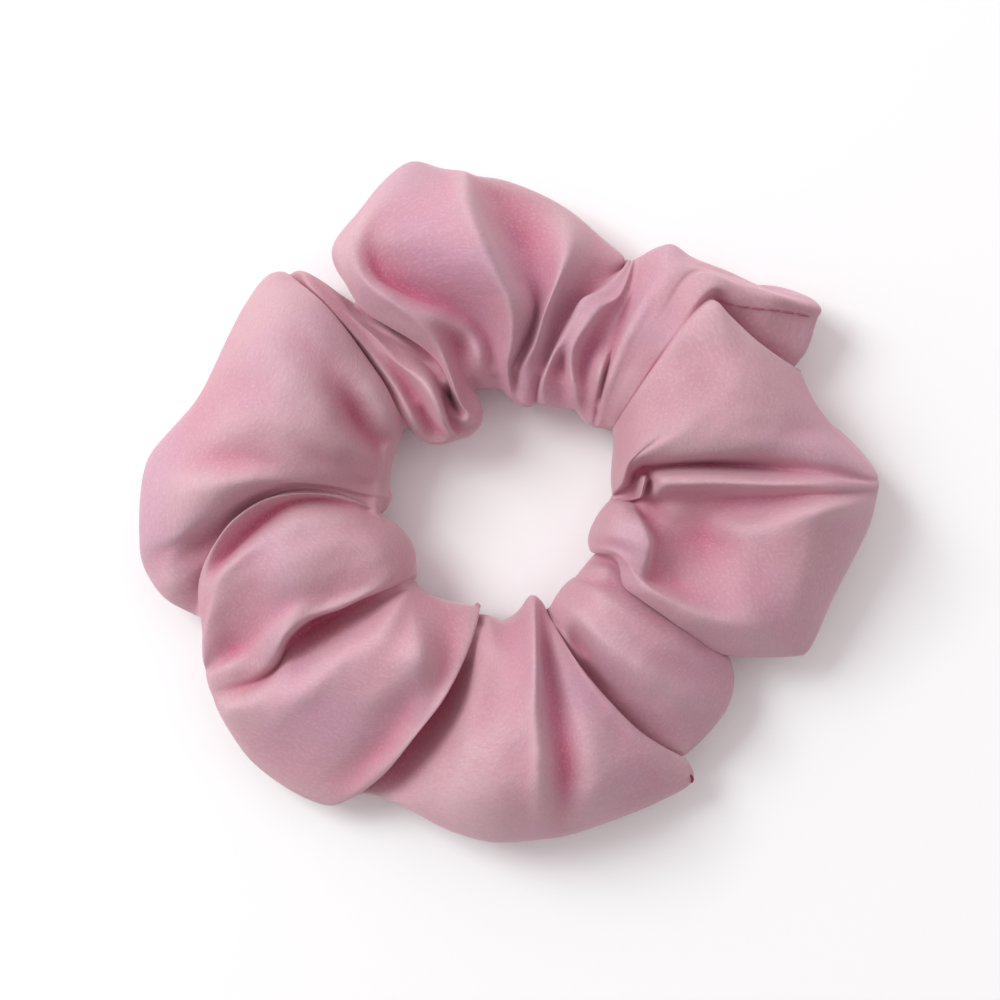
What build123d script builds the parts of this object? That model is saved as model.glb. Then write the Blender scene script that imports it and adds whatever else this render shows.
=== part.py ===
from build123d import *

import os
from math import atan2, cos, degrees, hypot, pi, radians, sin

# A satin scrunchie: one gathered tube of cloth round a loop of flat elastic.
#
# The scrunchie lies on its side face as on a table. +Z is up, the origin is on the table under
# the middle of the ring, and all sizes are in millimetres. The cloth billows into puffs between
# gathers, so the cover is lofted puff by puff through oval sections that stand on radial planes.

# Ring and cloth
HOLE_RADIUS = 17.5  # inner face of the cloth, where it lies on the elastic
WAIST_BOTTOM = 4.0  # the hole is straight from here ...
WAIST_TOP = 14.5  # ... to here, and opens out at 45 degrees below and above
CLOTH_WALL = 0.9  # the gathered cloth, with its small pleats, as one wall
REST_DEPTH = 2.2  # how much of each puff is flattened by lying on the table
SECTION_OVERRUN = 5.0  # how far the oval sections run into the hole before it is cut
FAR = 200.0  # reach of the cutting shapes, clear of the whole ring

# Elastic loop
ELASTIC_RADIUS = 21.6  # inner face of the band
ELASTIC_THICKNESS = 1.0
ELASTIC_WIDTH = 5.0
ELASTIC_MIDDLE = 9.4  # height of the band's middle above the table
ELASTIC_LAP = 12.0  # how far the band's two ends lie over each other
LAP_ANGLE = 200.0  # where the lap is, in degrees

# Sewing thread
THREAD_RADIUS = 0.15
STITCH_LENGTH = 2.4
STITCH_PITCH = 2.8
THREAD_GAP = 0.02  # keeps a stitch just off the cloth that it lies on

# Side seam: the tube's two long edges, sewn together and turned inside
SEAM_RADIUS = 30.0
SEAM_THICKNESS = 0.5
SEAM_ALLOWANCE = 5.0
SEAM_STITCH_HEIGHT = 2.6  # above the cover's inner floor

# Loose end of a darker thread, at the corner between the bottom and lower right puffs
TAIL_ANGLE = 304.5
TAIL_RADIUS = 51.1
TAIL_LOOP = 0.9

# Closing seam: one end of the tube folded over the other and sewn round
CLOSING_ANGLE = 36.0
CLOSING_PROUD = 0.6
CLOSING_WIDTH = 2.6

# Each puff's stations: angle in degrees, outer radius and height. It starts and ends at a gather.
PUFFS = {
    "right": [(-34.7, 43.5, 19), (-22, 51.5, 24), (3, 57.5, 27), (24, 50.5, 21)],
    "upper_right": [(24, 50.5, 21), (36, 56.5, 22), (50, 48.5, 23), (64, 42.5, 18)],
    "top_right": [(64, 42.5, 18), (77, 47, 23), (91, 51.2, 24)],
    "top_left": [(91, 51.2, 24), (104, 54.2, 26.5), (118, 51, 25), (128, 41, 18)],
    "upper_left": [(128, 41, 18), (137, 50.5, 22), (156, 50, 25), (177, 56.5, 27), (194, 51, 20)],
    "lower_left": [(194, 51, 20), (210, 55, 26), (228, 56, 27), (244, 49.5, 20)],
    "bottom": [(244, 49.5, 20), (265, 53.2, 24), (286, 52, 25), (304.5, 50.5, 18)],
    "lower_right": [(304.5, 50.5, 18), (315, 47.5, 22), (325.3, 43.5, 19)],
}


def radial_plane(angle):
    """The plane through the ring's axis at an angle: its x runs outwards and its y runs up."""
    outwards = (cos(radians(angle)), sin(radians(angle)), 0)
    normal = (sin(radians(angle)), -cos(radians(angle)), 0)
    return Plane(origin=(0, 0, 0), x_dir=outwards, z_dir=normal)


def oval(outer_radius, height, grow=0.0):
    """Middle radius, middle height and the two half-widths of a section, grown on all sides."""
    inner_radius = HOLE_RADIUS - SECTION_OVERRUN
    half_height = (height + REST_DEPTH) / 2
    half_width = (outer_radius - inner_radius) / 2
    middle = (outer_radius + inner_radius) / 2
    return middle, half_height - REST_DEPTH, half_width + grow, half_height + grow


def hole_profile(grow):
    """Half of the hole's outline, straight in the middle and flared at 45 degrees at both ends."""
    radius = HOLE_RADIUS - grow
    corner = -grow * (hypot(1, 1) - 1)  # a 45 degree corner moves this much along the wall
    bottom, top = WAIST_BOTTOM + corner, WAIST_TOP - corner
    return [
        (0, bottom - FAR), (radius + FAR, bottom - FAR), (radius, bottom),
        (radius, top), (radius + FAR, top + FAR), (0, top + FAR), (0, bottom - FAR),
    ]


def puff_ring(label, grow):
    """All puffs joined into one ring, with the hole and the flat rest face cut."""
    with BuildPart() as ring:
        for stations in PUFFS.values():
            for angle, outer_radius, height in stations:
                middle, middle_height, half_width, half_height = oval(outer_radius, height, grow)
                with BuildSketch(radial_plane(angle)):
                    with Locations((middle, middle_height)):
                        Ellipse(half_width, half_height)
            loft()
        with BuildSketch(Plane.XZ):
            with BuildLine():
                Polyline(*hole_profile(grow))
            make_face()
        revolve(axis=Axis.Z, mode=Mode.SUBTRACT)
        with Locations((0, 0, -grow)):
            Box(FAR, FAR, FAR, align=(Align.CENTER, Align.CENTER, Align.MAX), mode=Mode.SUBTRACT)
    ring.part.label = label
    return ring.part


def closing_station():
    """The section under the closing seam."""
    for angle, outer_radius, height in PUFFS["upper_right"]:
        if angle == CLOSING_ANGLE:
            return outer_radius, height
    raise ValueError("the closing seam has to lie on a station of its puff")


def satin_cover():
    """The tube of cloth, with its folded end and, inside it, the allowance of the side seam."""
    outer_radius, height = closing_station()
    middle, middle_height, half_width, half_height = oval(outer_radius, height, CLOSING_PROUD)
    with BuildPart() as cover:
        add(puff_ring("outside", 0))
        with BuildSketch(radial_plane(CLOSING_ANGLE)):
            with Locations((middle, middle_height)):
                Ellipse(half_width, half_height)
            Rectangle(FAR, FAR, align=(Align.CENTER, Align.MAX), mode=Mode.SUBTRACT)
            with Locations((HOLE_RADIUS + CLOTH_WALL, 0)):
                Rectangle(FAR, FAR, align=(Align.MAX, Align.CENTER), mode=Mode.SUBTRACT)
        extrude(amount=CLOSING_WIDTH / 2, both=True)
        add(puff_ring("inside", -CLOTH_WALL), mode=Mode.SUBTRACT)
        with BuildSketch(Plane.XY.offset(CLOTH_WALL / 2)):
            Circle(SEAM_RADIUS + SEAM_THICKNESS / 2)
            Circle(SEAM_RADIUS - SEAM_THICKNESS / 2, mode=Mode.SUBTRACT)
        extrude(amount=SEAM_ALLOWANCE)
    cover.part.label = "satin_cover"
    return cover.part


def elastic_band():
    """The flat elastic, standing on edge, with one end lapped over the other."""
    lap_radius = ELASTIC_RADIUS + ELASTIC_THICKNESS
    half_lap = degrees(ELASTIC_LAP / lap_radius) / 2
    with BuildPart() as band:
        with BuildSketch(Plane.XY.offset(ELASTIC_MIDDLE - ELASTIC_WIDTH / 2)):
            Circle(ELASTIC_RADIUS + ELASTIC_THICKNESS)
            Circle(ELASTIC_RADIUS, mode=Mode.SUBTRACT)
        extrude(amount=ELASTIC_WIDTH)
        with BuildSketch(radial_plane(LAP_ANGLE + half_lap)) as lap_end:
            with Locations((lap_radius, ELASTIC_MIDDLE)):
                Rectangle(ELASTIC_THICKNESS, ELASTIC_WIDTH, align=(Align.MIN, Align.CENTER))
        revolve(axis=Axis.Z, revolution_arc=-2 * half_lap)
    band.part.label = "elastic_band"
    return band.part


def bar(length):
    """One stitch: a short round bar along X."""
    return Cylinder(THREAD_RADIUS, length, rotation=(0, 90, 0), mode=Mode.PRIVATE)


def ring_stitches(radius, height, label):
    """Stitches all round a circle, each lying along it."""
    count = round(2 * pi * radius / STITCH_PITCH)
    along = Location((0, 0, height), (0, 0, 90))
    places = PolarLocations(radius, count)
    return Compound(label=label, children=[place * along * bar(STITCH_LENGTH) for place in places])


def oval_stitches(offset, label):
    """Stitches over the top of the closing seam, each lying along the oval grown by offset."""
    middle, middle_height, half_width, half_height = oval(*closing_station(), offset)
    first, last = radians(8), radians(112)
    steps = 400
    turns = [first + (last - first) * i / steps for i in range(steps + 1)]
    points = [(middle + half_width * cos(t), middle_height + half_height * sin(t)) for t in turns]
    places, walked = [], STITCH_PITCH
    for (x0, y0), (x1, y1) in zip(points, points[1:]):
        walked += hypot(x1 - x0, y1 - y0)
        if walked >= STITCH_PITCH:
            walked -= STITCH_PITCH
            places.append(((x0 + x1) / 2, (y0 + y1) / 2, degrees(atan2(y1 - y0, x1 - x0))))
    section = radial_plane(CLOSING_ANGLE).location
    stitches = [section * Location((x, y, 0), (0, 0, turn)) * bar(STITCH_LENGTH) for x, y, turn in places]
    return Compound(label=label, children=stitches)


def elastic_join_thread():
    """Three rows of zigzag stitches on both faces of the elastic's lap."""
    rows, zigs = 3, 5
    outer_face = ELASTIC_RADIUS + 2 * ELASTIC_THICKNESS + THREAD_RADIUS
    inner_face = ELASTIC_RADIUS - THREAD_RADIUS
    lean = 25.0
    zig_height = 0.84 * ELASTIC_WIDTH / zigs
    length = zig_height / sin(radians(90 - lean)) - 2 * THREAD_RADIUS
    stitches = []
    for face, gap in ((outer_face, THREAD_GAP), (inner_face, -2 * THREAD_GAP)):
        for row in range(rows):
            angle = LAP_ANGLE + degrees((row - 1) * ELASTIC_LAP / 3.4 / face)
            for zig in range(zigs):
                height = ELASTIC_MIDDLE + (zig - (zigs - 1) / 2) * zig_height
                side = lean if zig % 2 else -lean
                place = Location((0, 0, height), (0, 0, angle)) * Location((face + gap, 0, 0), (side, 0, 0))
                stitches.append(place * bar(length).rotate(Axis.Y, 90))
    return Compound(label="elastic_join_thread", children=stitches)


def seam_end_thread():
    """The small loop of thread that stands out at the corner, open towards the cloth."""
    height = 8.0
    start = (cos(radians(TAIL_ANGLE - 90)), sin(radians(TAIL_ANGLE - 90)), 0)
    middle = Vector(TAIL_RADIUS, 0, height).rotate(Axis.Z, TAIL_ANGLE)
    with BuildPart() as tail:
        with BuildSketch(Plane(origin=middle, x_dir=start, z_dir=(0, 0, 1)) * Plane.XZ):
            with Locations((TAIL_LOOP, 0)):
                Circle(THREAD_RADIUS)
        revolve(axis=Axis(middle, (0, 0, 1)), revolution_arc=180)
    tail.part.label = "seam_end_thread"
    return tail.part


def main():
    """Makes every piece and writes one STEP file for each."""
    half_seam = SEAM_THICKNESS / 2 + THREAD_RADIUS + THREAD_GAP + 0.03
    seam_height = CLOTH_WALL + SEAM_STITCH_HEIGHT
    outside = CLOSING_PROUD + THREAD_RADIUS + THREAD_GAP
    inside = -CLOTH_WALL - THREAD_RADIUS - 0.15
    pieces = [
        satin_cover(),
        elastic_band(),
        elastic_join_thread(),
        ring_stitches(SEAM_RADIUS + half_seam + 0.05, seam_height, "side_seam_needle_thread"),
        ring_stitches(SEAM_RADIUS - half_seam, seam_height, "side_seam_bobbin_thread"),
        oval_stitches(outside, "closing_seam_needle_thread"),
        oval_stitches(inside, "closing_seam_bobbin_thread"),
        seam_end_thread(),
    ]
    os.makedirs("parts", exist_ok=True)
    for piece in pieces:
        export_step(piece, f"parts/{piece.label}.step")
        box = piece.bounding_box()
        print(piece.label, len(piece.solids()), round(piece.volume, 2), box.min, box.max)


main()
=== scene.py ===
import bpy
import numpy as np
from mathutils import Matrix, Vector, noise


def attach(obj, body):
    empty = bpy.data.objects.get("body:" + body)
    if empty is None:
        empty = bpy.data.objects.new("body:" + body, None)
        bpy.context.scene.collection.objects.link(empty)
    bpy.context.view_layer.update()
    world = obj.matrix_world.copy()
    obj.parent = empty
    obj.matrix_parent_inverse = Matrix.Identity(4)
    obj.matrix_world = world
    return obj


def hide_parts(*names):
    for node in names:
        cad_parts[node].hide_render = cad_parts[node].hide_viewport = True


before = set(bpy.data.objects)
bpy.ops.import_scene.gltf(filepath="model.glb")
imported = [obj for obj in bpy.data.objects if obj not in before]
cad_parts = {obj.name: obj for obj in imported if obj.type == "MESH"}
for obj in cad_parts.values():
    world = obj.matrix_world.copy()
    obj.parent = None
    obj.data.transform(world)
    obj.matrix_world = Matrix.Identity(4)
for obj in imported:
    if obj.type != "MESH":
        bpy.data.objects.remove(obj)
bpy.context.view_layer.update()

MM = 0.001

# ---------------------------------------------------------------------------
# Fold lines of the cloth cover. Each one runs over the top of the puffed tube, from the edge of
# the hair opening to the outer rim, along one ridge, one valley or one edge of a fold. Points
# are (x, y, height) in millimetres. The lines go round the ring anticlockwise from above.
# ---------------------------------------------------------------------------

# How far along its line each point of the right puff's lines lies, from 0 to 1
PETAL = (0, 0.2, 0.31, 0.345, 0.42, 0.52, 0.67, 0.84, 1)
ROLL = (0, 0.2, 0.3, 0.33, 0.36, 0.42, 0.52, 0.67, 0.84, 1)


def pinned(stations, *points):
    """A fold line whose points lie at set shares of its length, so neighbours line up."""
    return {"stations": stations, "points": list(points)}


# The inner parts of the dart's crease and of the next panel's edge
CREASE = [(16.2, 11.4, 9), (18, 14.6, 16.4), (22.3, 21, 19.8), (27, 27.4, 20.6)]
PANEL_EDGE = [(14.2, 11.85, 9), (15.0, 17.2, 16.2), (16.7, 23.3, 18.8), (19.4, 29, 19)]


def fan(share, *outer):
    """A fold line that starts between the dart's crease and the panel's edge."""
    near = [
        tuple(c + share * (e - c) for c, e in zip(crease, edge))
        for crease, edge in zip(CREASE, PANEL_EDGE)
    ]
    return near + list(outer)


BOTTOM_PUFF = [
    # front edge of the lower left puff, which lies over the bottom puff
    [(-4.9, -16.6, 9), (-5.2, -19, 13), (-6.8, -23.8, 15.5), (-10, -30, 17), (-14.5, -36, 15.2),
     (-19, -41.8, 11.2), (-23.4, -45.7, 6.5)],
    [(-5.1, -16.4, 8), (-6.8, -21.6, 12.6), (-12, -30, 10), (-18, -38, 7.5), (-24.4, -45.6, 5)],
    # deep gap, then the rising left face
    [(-4.8, -17.7, 8), (-5.9, -21.5, 12.6), (-8.5, -28.5, 10.5), (-12.7, -35.5, 9), (-16.4, -41, 7.5),
     (-20.5, -46.3, 5.5)],
    [(-4.2, -17.9, 8.5), (-4.3, -21.8, 14), (-5.8, -29, 15), (-8.6, -36, 15), (-11.4, -42, 13.4),
     (-15.5, -48.1, 7)],
    [(-3.2, -18.1, 9), (-2.6, -22.5, 15.5), (-3.6, -30, 17.5), (-6, -38, 19.5), (-8, -45, 17),
     (-9.8, -51, 7.5)],
    [(-1, -18.7, 9), (-0.6, -23, 16.5), (-1.2, -30, 20), (-2, -38, 22), (-2.6, -46, 19.5),
     (-3, -52.9, 8)],
    [(1.5, -17.4, 9), (2, -21.5, 16.5), (2.1, -28, 21), (2.2, -36, 23), (2.2, -45, 20.5),
     (1.8, -52.9, 8)],
    # sharp ridge from the peak at the opening, and the valley beside it
    [(3.6, -15.0, 9.5), (3.9, -19, 17), (4, -25, 21.5), (4.1, -32, 23), (4.6, -39, 23.5),
     (5, -46, 19.5), (4.6, -52.6, 8)],
    [(5.0, -15.7, 9), (5.1, -20, 14), (5.6, -26, 16.6), (6.8, -32, 18.4), (8.2, -39, 19.4),
     (8.6, -46, 17), (8.4, -52.2, 7.5)],
    [(5.7, -16.7, 8.5), (6.6, -20.5, 14.5), (8.2, -26, 17.6), (10.2, -32, 19.4), (12.8, -39, 20),
     (13.5, -45, 17), (14.5, -50.3, 7.5)],
    [(5.85, -17, 8.3), (7.3, -20, 14), (10.3, -25.5, 17), (14, -31.5, 18), (18.5, -38.5, 16.5),
     (21.5, -43, 12.5), (23.5, -46.9, 6.5)],
    [(5.9, -17.05, 8.2), (7.5, -20, 13.8), (10.8, -25.4, 16.8), (15, -31.2, 17.3),
     (20, -37.3, 15.3), (25, -41.5, 11), (28.5, -43.7, 6.5)],
    # its right edge, which lies over the next puff
    [(5.95, -17.1, 8.2), (7.6, -20, 13.5), (11, -25.3, 16), (15.5, -30.6, 16), (20, -35.2, 14),
     (24, -38.1, 11), (27.2, -40.2, 7.5)],
]

LOWER_RIGHT_PUFF = [
    [(5.95, -17.3, 7.8), (7.7, -20.6, 13), (12, -28.4, 12), (18, -36.2, 10.5), (25.3, -41, 6)],
    # round dimple over the elastic
    [(6.1, -16.9, 8), (8.2, -20, 14), (10.3, -23.1, 14), (13, -26.8, 12.4), (17.5, -31, 13),
     (23, -36, 11), (28, -39.2, 7)],
    [(6.5, -16.6, 9), (8.6, -18.9, 14.6), (10.9, -21.7, 14.2), (13.6, -25, 14.6),
     (17.6, -28.4, 15.6), (24, -32.5, 14.5), (31, -36.3, 7)],
    [(7.5, -14.9, 9.5), (10.6, -17.6, 17.4), (14.4, -21.6, 19.6), (21, -26.5, 19), (27.5, -30.3, 15),
     (34, -32.3, 7)],
    [(8.9, -13.2, 9.5), (12.5, -15.6, 17.5), (17.5, -19.6, 19.5), (23.5, -24, 17.5),
     (29.5, -27, 13.5), (35.1, -28.2, 7)],
    [(10.2, -12.15, 9.5), (14, -14.1, 17.5), (19.5, -17.8, 18.2), (25.5, -21.8, 16.2),
     (31, -24.8, 12.3), (34.7, -25.3, 7)],
    [(10.5, -12.0, 9.3), (13.8, -12.5, 14.5), (18.2, -14.2, 15.8), (24.5, -18.6, 15),
     (30, -22.6, 12), (34.3, -24.2, 7)],
    [(11.7, -10.5, 9), (14.5, -10.4, 13.5), (17.6, -12.2, 14), (24.5, -17.4, 13.2), (31, -21.5, 10.6),
     (35.5, -23, 4.5)],
    [(13.2, -8.7, 8.3), (15.5, -9.2, 12), (18.4, -10.5, 13), (25, -15, 11), (33, -19.5, 8.5),
     (38, -22, 4.5)],
]

RIGHT_PUFF = [
    # lower left edge, over the lower right puff
    [(13.8, -8.05, 9.2), (16.6, -9.1, 14.5), (17.7, -12.9, 15.5), (20.2, -14.9, 15.5),
     (24.5, -17.9, 14.5), (29, -21, 12), (32.5, -23.4, 9.5), (35.2, -23.55, 7)],
    [(13.1, -7.9, 9.8), (17.0, -8.6, 17.5), (19.8, -12, 19), (27, -16.2, 18.5), (35, -19.8, 16),
     (41, -22.3, 12), (44.5, -23.9, 7)],
    # petal beside the opening, then the bowl behind it
    pinned(PETAL, (12.8, -7.2, 10), (16.6, -7.9, 18.2), (20.2, -11, 18.8), (21.6, -11.8, 17),
           (25, -13.2, 16.4), (30, -15, 17), (37, -17.8, 17), (42.5, -20.6, 13), (46.6, -23.2, 7)),
    pinned(PETAL, (12.7, -6.2, 10), (16.5, -6.8, 18), (20.8, -8.8, 19.3), (22.0, -9.3, 16),
           (25, -10, 14.6), (30, -11.5, 15.2), (37, -13, 16.9), (44, -14.8, 16),
           (50.2, -15.7, 7.5)),
    pinned(PETAL, (13, -4.6, 10), (16.2, -5, 18.3), (21.3, -5.8, 19.6), (22.3, -6, 15.4),
           (25, -6.2, 13.6), (30, -6.6, 12.8), (37, -7.4, 17.8), (45, -8.6, 18), (54.4, -7.5, 8)),
    pinned(PETAL, (14, -2.3, 9.8), (16.6, -2.6, 17.5), (20.3, -3.3, 18.5), (21.4, -3.6, 14.5),
           (25, -3.7, 13.6), (30, -3.8, 13.3), (37, -4.2, 18.3), (46, -4.2, 19.5), (56.2, -3.7, 8)),
    pinned(PETAL, (15.2, -0.6, 9.5), (17.6, -0.7, 15.5), (19.4, -1.2, 15), (21, -1.9, 12.8),
           (25, -1.9, 14), (30, -1.8, 13.9), (38, -1.6, 17), (47, -1.3, 21), (57, -0.6, 8.3)),
    # rolled pleat between its two valleys, with an open end towards the hair opening
    pinned(PETAL, (15.9, 0.2, 9), (17.6, 0.2, 12.5), (19.4, 0.1, 12.2), (21.5, -0.1, 12.8),
           (25, 0, 14.8), (30, 0.2, 14.9), (38, 0.5, 16), (48, 1, 18.5), (57.3, 1, 8.5)),
    pinned(ROLL, (16.1, 0.4, 8.9), (19.2, 0.7, 12.2), (20.3, 0.8, 15), (21.1, 1.1, 13.2),
           (22.6, 1.3, 16.2), (26, 1.5, 16.7), (31, 1.6, 17), (38, 1.4, 18), (48, 1.7, 19),
           (57.4, 1.7, 8.7)),
    pinned(ROLL, (16.2, 0.5, 8.8), (19.4, 1.6, 12.2), (20.5, 2.2, 16.6), (21.6, 2.6, 13.0),
           (22.9, 2.7, 18.8), (26, 2.8, 19.6), (31, 2.9, 19.9), (38, 2.7, 20.5), (48, 2.6, 19.3),
           (57.5, 2.4, 8.8)),
    pinned(ROLL, (16.3, 0.8, 8.6), (19.4, 2.4, 12.2), (20.8, 3.7, 16.2), (21.8, 3.6, 14.0),
           (22.8, 3.7, 18.7), (26, 4.1, 19.1), (31, 4.2, 19.2), (38, 3.9, 19.4), (48, 3.4, 18.8),
           (57.5, 3.0, 8.8)),
    pinned(ROLL, (16.4, 1.0, 8.5), (18.9, 2.9, 12), (20.0, 4.2, 12.3), (20.9, 5.0, 12.8),
           (22.6, 5.3, 14.4), (26, 5.7, 15), (31, 5.9, 15), (38, 5.5, 15.8), (48, 4.5, 16.8),
           (57.4, 3.6, 8.6)),
    pinned(ROLL, (16.35, 1.6, 9.2), (17.6, 3.0, 15), (18.9, 5.0, 16), (20.5, 6.1, 17.4),
           (22.6, 6.5, 19), (26, 6.8, 20), (31, 7.1, 20.3), (38, 7.1, 19.6), (49, 5.9, 17.2),
           (57.2, 4.4, 8.6)),
    pinned(ROLL, (16.2, 3.2, 9.8), (17.6, 5.2, 16.5), (19.4, 6.9, 18.8), (21, 7.6, 20.3),
           (22.8, 8.1, 21.3), (26, 8.6, 22), (31, 9, 22.4), (38, 9.2, 21.4), (47.5, 8.8, 17.5),
           (55.6, 6.6, 8.4)),
]

UPPER_RIGHT_PUFF = [
    [(16.35, 6, 10), (19, 8, 18.5), (24, 11, 22), (30, 12.6, 23.4), (37, 13, 22.8), (44, 12.6, 19),
     (51.2, 11.2, 8.2)],
    [(16.5, 9, 10), (19, 11.2, 18.5), (24, 14.8, 21.8), (30, 17, 23), (36.5, 17.6, 22.8),
     (42, 17.6, 19), (47.7, 15.6, 8.3)],
    [(16.45, 10.6, 10), (18.8, 13.4, 18), (23, 18, 21.5), (28.5, 21.4, 22.5), (34, 22.4, 22),
     (40, 21.3, 18.5), (45.5, 19.9, 9)],
    # right edge, over the hemmed flap, and the dart where the flap begins
    [(16.3, 11.3, 9.5), (18.2, 14.4, 17), (21.5, 19.6, 20.5), (27, 26.2, 21.5), (31.2, 29.8, 21),
     (33.4, 28.2, 20), (38, 24.4, 17.5), (42, 21.9, 14), (45.1, 20.5, 9.5)],
    fan(0.0, (30.9, 30.9, 18), (34, 27, 13.5), (38, 23, 11), (43.5, 19.8, 7)),
    fan(0.06, (31.1, 31.8, 18.5), (34.6, 28.6, 14.5), (39.6, 25.6, 12.5), (46.4, 23.6, 7.5)),
    fan(0.12, (31.3, 32.6, 19), (36, 30.2, 15.8), (41, 29.5, 14), (47.9, 28.5, 8)),
    fan(0.24, (30.4, 33.8, 18.8), (36.5, 32.4, 16.3), (42, 31.3, 14.5), (48.4, 30.1, 8.5)),
    fan(0.36, (29, 34.8, 17.8), (34.5, 34.0, 15.2), (40.5, 32.6, 12.5), (46.4, 32.1, 8)),
    fan(0.48, (28.2, 35, 17), (34.5, 34.7, 13), (41, 33, 8)),
    fan(0.6, (26.8, 35.2, 17), (30.5, 36.2, 13), (34, 36, 8.2)),
    fan(0.75, (25, 35.8, 16.5), (28.6, 38.1, 8.4)),
    fan(0.9, (23.6, 36, 15.5), (25.6, 40.0, 8.5)),
    [(13.9, 11.9, 9), (14.7, 17.2, 15.8), (16.5, 23.3, 18.2), (19.2, 29, 18.2), (22.2, 34.6, 15.2),
     (23.5, 39.7, 8.5)],
]

GATHERS = [
    [(13.3, 12.0, 8.8), (14.0, 16, 13), (15.2, 21, 15.2), (17, 26, 15), (18.8, 31, 14),
     (20.3, 34.5, 12.5), (21.8, 39, 8)],
    [(12.6, 12.4, 9), (13.2, 15.8, 13.3), (13.9, 20, 16.5), (15.2, 24.5, 15), (17, 29, 14.5),
     (18.8, 32.6, 13), (20.6, 38.3, 8)],
    [(11.6, 13.2, 9), (11.7, 16.5, 13.0), (11.5, 20.5, 13.6), (12.6, 24.5, 14.3),
     (14.6, 28, 15.2), (16.8, 31, 14.2), (18.6, 34, 12), (19.8, 37.9, 8)],
    [(10.4, 14.5, 9.3), (10, 17.5, 15), (9.5, 21, 16.2), (9.9, 23.6, 17.2), (11.8, 26.8, 17.8),
     (14, 29.6, 17.2), (16.8, 31.6, 15), (19.2, 37.6, 8.3)],
    [(8.3, 14.9, 8.8), (8, 18, 12.6), (8.1, 21.2, 13.6), (8.9, 23.9, 16.7), (10.6, 27.3, 17.6),
     (12.6, 30.2, 17.2), (15.8, 32, 14.8), (18.95, 37.6, 8.2)],
    [(5.5, 15.4, 9.2), (5.3, 18.5, 14.5), (6.6, 22.2, 16), (8.0, 25, 16.8), (9.6, 28, 17),
     (11.2, 31, 16.6), (14.4, 32.8, 14.3), (18.7, 37.7, 8.2)],
]

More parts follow.
